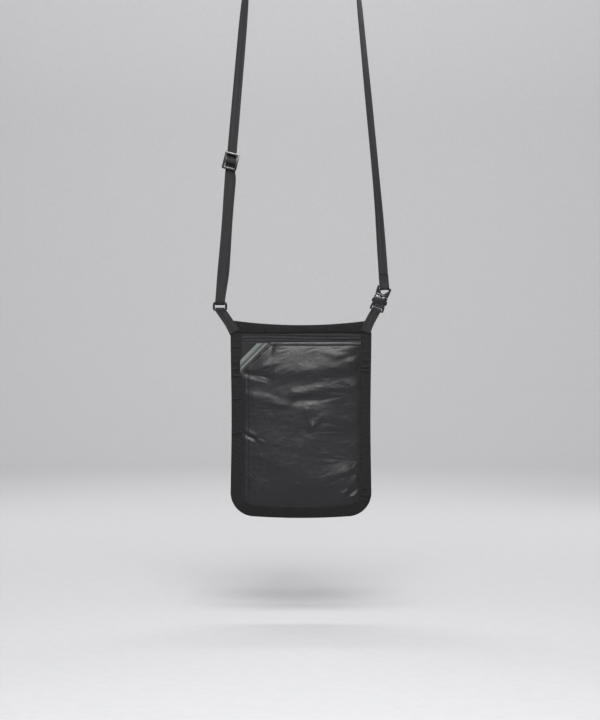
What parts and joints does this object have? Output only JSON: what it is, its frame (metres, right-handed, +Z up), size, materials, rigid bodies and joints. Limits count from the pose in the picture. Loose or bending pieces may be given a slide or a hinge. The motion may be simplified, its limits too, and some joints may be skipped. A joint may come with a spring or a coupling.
{
  "type": "neck pouch wallet",
  "caption": "Flat fabric travel pouch with an open front pocket and a back zip, hung from a webbing neck loop with a length adjuster and a side-release buckle.",
  "frame": {"origin": "middle of the neck webbing at the top of its loop, where it rests on the back of the neck", "axes": "+Z up, -Y out of the pouch's front, +X to the right seen from the front"},
  "size_m": [0.1788, 0.0183, 0.5838],
  "materials": {
    "pouch_fabric": "closely woven coated nylon with a soft satin sheen",
    "lining_fabric": "plain woven nylon",
    "binding_tape": "ribbed grosgrain tape",
    "webbing": "flat woven webbing",
    "label": "woven damask label, blank",
    "plastic": "moulded acetal, slightly glossy",
    "zip_tape": "woven zip tape",
    "zip_coil": "nylon coil",
    "zip_metal": "black enamelled zinc"
  },
  "bodies": {
    "strap": {"neck_strap": "webbing", "loop_front": "webbing", "loop_back": "webbing", "ring_turn": "webbing", "ring": "plastic", "buckle_socket": "plastic"},
    "pouch": {"inner_panel": "lining_fabric", "front_panel": "pouch_fabric", "back_panel_lower": "pouch_fabric", "back_panel_upper": "pouch_fabric", "pocket_hem": "pouch_fabric", "corner_label": "label", "perimeter_binding": "binding_tape", "top_binding": "binding_tape", "zip_tape_upper": "zip_tape", "zip_tape_lower": "zip_tape", "zip_coil_upper": "zip_coil", "zip_coil_lower": "zip_coil", "zip_stops": "zip_metal", "strap_tab_left": "webbing", "strap_tab_right": "webbing"},
    "slider": {"zip_slider": "zip_metal"},
    "pull": {"zip_pull": "zip_metal"},
    "adjuster": {"adjuster": "plastic", "strap_hump": "webbing"},
    "plug": {"buckle_plug": "plastic", "plug_fold": "webbing"},
    "arm_left": {"release_arm_left": "plastic"},
    "arm_right": {"release_arm_right": "plastic"}
  },
  "joints": [
    {"name": "pouch_swing", "type": "hinge", "parent": "strap", "child": "pouch", "pos_m": [0, 0, -0.371], "axis": [1, 0, 0], "range_deg": [-60, 60], "deforming": ["strap_tab_right"]},
    {"name": "adjuster_slide", "type": "slide", "parent": "strap", "child": "adjuster", "axis": [-0.0759, 0, -0.9971], "range_m": [0, 0.112], "deforming": ["loop_back", "loop_front", "strap_hump", "neck_strap"]},
    {"name": "plug_release", "type": "slide", "parent": "strap", "child": "plug", "axis": [0.342, 0, 0.9397], "range_m": [0, 0.016], "deforming": ["neck_strap", "plug_fold", "release_arm_left", "release_arm_right"]},
    {"name": "arm_left_squeeze", "type": "hinge", "parent": "plug", "child": "arm_left", "pos_m": [0.07563, 0, -0.35544], "axis": [0, -1, 0], "range_deg": [0, 8], "stiffness_Nm_per_rad": 0.2},
    {"name": "arm_right_squeeze", "type": "hinge", "parent": "plug", "child": "arm_right", "pos_m": [0.08522, 0, -0.35893], "axis": [0, 1, 0], "range_deg": [0, 8], "stiffness_Nm_per_rad": 0.2},
    {"name": "zip_slide", "type": "slide", "parent": "pouch", "child": "slider", "axis": [-1, 0, 0], "range_m": [0, 0.083]},
    {"name": "pull_flip", "type": "hinge", "parent": "slider", "child": "pull", "pos_m": [0.0419, 0.00992, -0.417], "axis": [0, 0, -1], "range_deg": [0, 165]}
  ]
}
